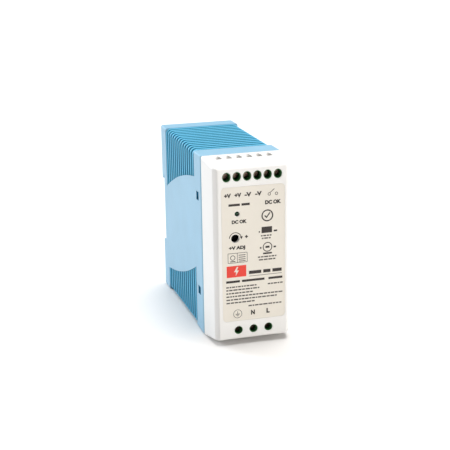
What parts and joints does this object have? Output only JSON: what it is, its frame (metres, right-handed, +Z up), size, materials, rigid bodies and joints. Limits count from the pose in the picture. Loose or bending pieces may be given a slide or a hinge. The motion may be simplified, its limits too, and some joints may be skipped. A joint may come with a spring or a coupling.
{
  "type": "din rail power supply",
  "caption": "Narrow rail-mounted power supply: ribbed blue case, tapered white cover, screw terminals above and below, sprung rail latch at the rear.",
  "frame": {"origin": "middle of the underside, half way between the front face and the rear", "axes": "+Z up along the 90 mm height, -Y out of the front face with the terminals, +Y towards the rail, +X to the right seen from the front"},
  "size_m": [0.04, 0.1, 0.09],
  "materials": {
    "housing_blue": "fine moulded texture",
    "cover_white": "fine moulded texture",
    "label_cream": "printed polyester film",
    "latch_blue": "moulded",
    "spring_steel": "drawn wire",
    "lamp_green": "clear tinted lens",
    "trimmer_black": "moulded",
    "rotor_black": "moulded",
    "terminal_green": "glass-filled moulding",
    "screw_steel": "zinc plated",
    "clamp_steel": "zinc plated",
    "contact_brass": "tinned brass",
    "board_green": "solder mask",
    "moulding_black": "moulded epoxy",
    "fuse_glass": "nickel plated caps on glass",
    "varistor_blue": "dipped epoxy",
    "thermistor_black": "dipped",
    "capacitor_yellow": "moulded box",
    "ferrite_grey": "sintered ferrite",
    "copper_wire": "enamelled wire",
    "sleeve_black": "shrink sleeve",
    "heatsink_aluminium": "extruded",
    "winding_tape": "polyester tape",
    "sheet_paper": "fibre sheet"
  },
  "bodies": {
    "case": {"rear_housing": "housing_blue", "front_cover": "cover_white", "front_label": "label_cream", "latch_spring": "spring_steel", "status_led": "lamp_green", "trimmer_body": "trimmer_black", "output_terminal_block": "terminal_green", "input_terminal_block": "terminal_green", "front_board": "board_green", "main_board": "board_green", "board_link": "moulding_black", "fuse": "fuse_glass", "varistor": "varistor_blue", "inrush_thermistor": "thermistor_black", "x_capacitor": "capacitor_yellow", "choke_core": "ferrite_grey", "choke_winding": "copper_wire", "bridge_rectifier": "moulding_black", "bulk_capacitor": "sleeve_black", "switching_transistor": "moulding_black", "primary_heatsink": "heatsink_aluminium", "transformer_core": "ferrite_grey", "transformer_winding": "winding_tape", "output_rectifier": "moulding_black", "secondary_heatsink": "heatsink_aluminium", "output_capacitor_1": "sleeve_black", "output_capacitor_2": "sleeve_black", "output_inductor": "copper_wire", "dc_ok_relay": "moulding_black", "optocoupler": "moulding_black", "insulation_sheet": "sheet_paper", "output_contact_1": "contact_brass", "output_contact_2": "contact_brass", "output_contact_3": "contact_brass", "output_contact_4": "contact_brass", "output_contact_5": "contact_brass", "output_contact_6": "contact_brass", "input_contact_1": "contact_brass", "input_contact_2": "contact_brass", "input_contact_3": "contact_brass"},
    "output_screw_1": {"output_screw_1": "screw_steel"},
    "output_clamp_1": {"output_clamp_1": "clamp_steel"},
    "output_screw_2": {"output_screw_2": "screw_steel"},
    "output_clamp_2": {"output_clamp_2": "clamp_steel"},
    "output_screw_3": {"output_screw_3": "screw_steel"},
    "output_clamp_3": {"output_clamp_3": "clamp_steel"},
    "output_screw_4": {"output_screw_4": "screw_steel"},
    "output_clamp_4": {"output_clamp_4": "clamp_steel"},
    "output_screw_5": {"output_screw_5": "screw_steel"},
    "output_clamp_5": {"output_clamp_5": "clamp_steel"},
    "output_screw_6": {"output_screw_6": "screw_steel"},
    "output_clamp_6": {"output_clamp_6": "clamp_steel"},
    "input_screw_1": {"input_screw_1": "screw_steel"},
    "input_clamp_1": {"input_clamp_1": "clamp_steel"},
    "input_screw_2": {"input_screw_2": "screw_steel"},
    "input_clamp_2": {"input_clamp_2": "clamp_steel"},
    "input_screw_3": {"input_screw_3": "screw_steel"},
    "input_clamp_3": {"input_clamp_3": "clamp_steel"},
    "din_latch": {"din_latch": "latch_blue"},
    "trimmer_rotor": {"trimmer_rotor": "rotor_black"}
  },
  "joints": [
    {"name": "output_screw_1_turn", "type": "hinge", "parent": "case", "child": "output_screw_1", "pos_m": [-0.0125, -0.043, 0.08285], "axis": [0, 1, 0], "range_deg": [0, 1800]},
    {"name": "output_clamp_1_lift", "type": "slide", "parent": "case", "child": "output_clamp_1", "axis": [0, -1, 0], "range_m": [0, 0.0025]},
    {"name": "output_screw_2_turn", "type": "hinge", "parent": "case", "child": "output_screw_2", "pos_m": [-0.0075, -0.043, 0.08285], "axis": [0, 1, 0], "range_deg": [0, 1800]},
    {"name": "output_clamp_2_lift", "type": "slide", "parent": "case", "child": "output_clamp_2", "axis": [0, -1, 0], "range_m": [0, 0.0025]},
    {"name": "output_screw_3_turn", "type": "hinge", "parent": "case", "child": "output_screw_3", "pos_m": [-0.0025, -0.043, 0.08285], "axis": [0, 1, 0], "range_deg": [0, 1800]},
    {"name": "output_clamp_3_lift", "type": "slide", "parent": "case", "child": "output_clamp_3", "axis": [0, -1, 0], "range_m": [0, 0.0025]},
    {"name": "output_screw_4_turn", "type": "hinge", "parent": "case", "child": "output_screw_4", "pos_m": [0.0025, -0.043, 0.08285], "axis": [0, 1, 0], "range_deg": [0, 1800]},
    {"name": "output_clamp_4_lift", "type": "slide", "parent": "case", "child": "output_clamp_4", "axis": [0, -1, 0], "range_m": [0, 0.0025]},
    {"name": "output_screw_5_turn", "type": "hinge", "parent": "case", "child": "output_screw_5", "pos_m": [0.0075, -0.043, 0.08285], "axis": [0, 1, 0], "range_deg": [0, 1800]},
    {"name": "output_clamp_5_lift", "type": "slide", "parent": "case", "child": "output_clamp_5", "axis": [0, -1, 0], "range_m": [0, 0.0025]},
    {"name": "output_screw_6_turn", "type": "hinge", "parent": "case", "child": "output_screw_6", "pos_m": [0.0125, -0.043, 0.08285], "axis": [0, 1, 0], "range_deg": [0, 1800]},
    {"name": "output_clamp_6_lift", "type": "slide", "parent": "case", "child": "output_clamp_6", "axis": [0, -1, 0], "range_m": [0, 0.0025]},
    {"name": "input_screw_1_turn", "type": "hinge", "parent": "case", "child": "input_screw_1", "pos_m": [-0.0075, -0.043, 0.0074], "axis": [0, 1, 0], "range_deg": [0, 1800]},
    {"name": "input_clamp_1_lift", "type": "slide", "parent": "case", "child": "input_clamp_1", "axis": [0, -1, 0], "range_m": [0, 0.0025]},
    {"name": "input_screw_2_turn", "type": "hinge", "parent": "case", "child": "input_screw_2", "pos_m": [0, -0.043, 0.0074], "axis": [0, 1, 0], "range_deg": [0, 1800]},
    {"name": "input_clamp_2_lift", "type": "slide", "parent": "case", "child": "input_clamp_2", "axis": [0, -1, 0], "range_m": [0, 0.0025]},
    {"name": "input_screw_3_turn", "type": "hinge", "parent": "case", "child": "input_screw_3", "pos_m": [0.0075, -0.043, 0.0074], "axis": [0, 1, 0], "range_deg": [0, 1800]},
    {"name": "input_clamp_3_lift", "type": "slide", "parent": "case", "child": "input_clamp_3", "axis": [0, -1, 0], "range_m": [0, 0.0025]},
    {"name": "latch_slide", "type": "slide", "parent": "case", "child": "din_latch", "axis": [0, 0, -1], "range_m": [0, 0.004], "stiffness_N_per_m": 800, "springref_m": -0.003, "deforming": ["latch_spring"]},
    {"name": "trimmer_turn", "type": "hinge", "parent": "case", "child": "trimmer_rotor", "pos_m": [-0.0086, -0.044, 0.0532], "axis": [0, 1, 0], "range_deg": [-130, 130]}
  ],
  "couplings": [
    {"joint": "output_screw_1_turn", "follows": "output_clamp_1_lift", "rad_per_m": 12566},
    {"joint": "output_screw_2_turn", "follows": "output_clamp_2_lift", "rad_per_m": 12566},
    {"joint": "output_screw_3_turn", "follows": "output_clamp_3_lift", "rad_per_m": 12566},
    {"joint": "output_screw_4_turn", "follows": "output_clamp_4_lift", "rad_per_m": 12566},
    {"joint": "output_screw_5_turn", "follows": "output_clamp_5_lift", "rad_per_m": 12566},
    {"joint": "output_screw_6_turn", "follows": "output_clamp_6_lift", "rad_per_m": 12566},
    {"joint": "input_screw_1_turn", "follows": "input_clamp_1_lift", "rad_per_m": 12566},
    {"joint": "input_screw_2_turn", "follows": "input_clamp_2_lift", "rad_per_m": 12566},
    {"joint": "input_screw_3_turn", "follows": "input_clamp_3_lift", "rad_per_m": 12566}
  ]
}
